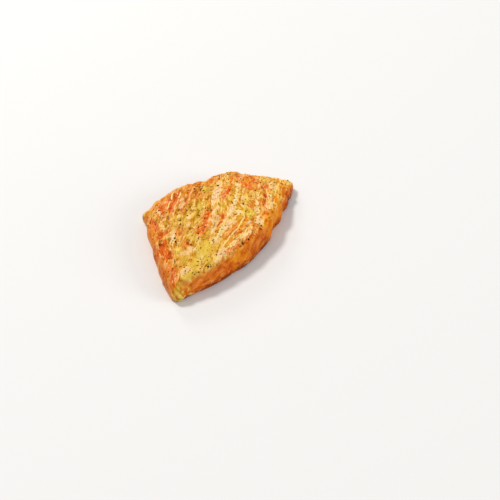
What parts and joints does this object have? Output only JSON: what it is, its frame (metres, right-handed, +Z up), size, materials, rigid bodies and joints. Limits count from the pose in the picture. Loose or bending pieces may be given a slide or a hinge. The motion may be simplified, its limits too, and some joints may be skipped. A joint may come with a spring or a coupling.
{
  "type": "glazed salmon fillet",
  "caption": "Boneless portion of salmon fillet coated in mustard-yellow glaze and pepper, flat below, domed and flaked on top.",
  "frame": {"origin": "on the flat foot, under the middle of the fillet's bounding box", "axes": "+Z up, out of the glazed top; +X along the length, from the straight cut end to the blunt tip; +Y to the side with the nick in its edge, and -Y to the tall cut side"},
  "size_m": [0.1432, 0.0952, 0.0226],
  "materials": {
    "glazed_flesh": "orange flesh under a wet mustard-yellow glaze with specks of pepper"
  },
  "bodies": {
    "root": {"salmon_fillet": "glazed_flesh"}
  },
  "joints": []
}
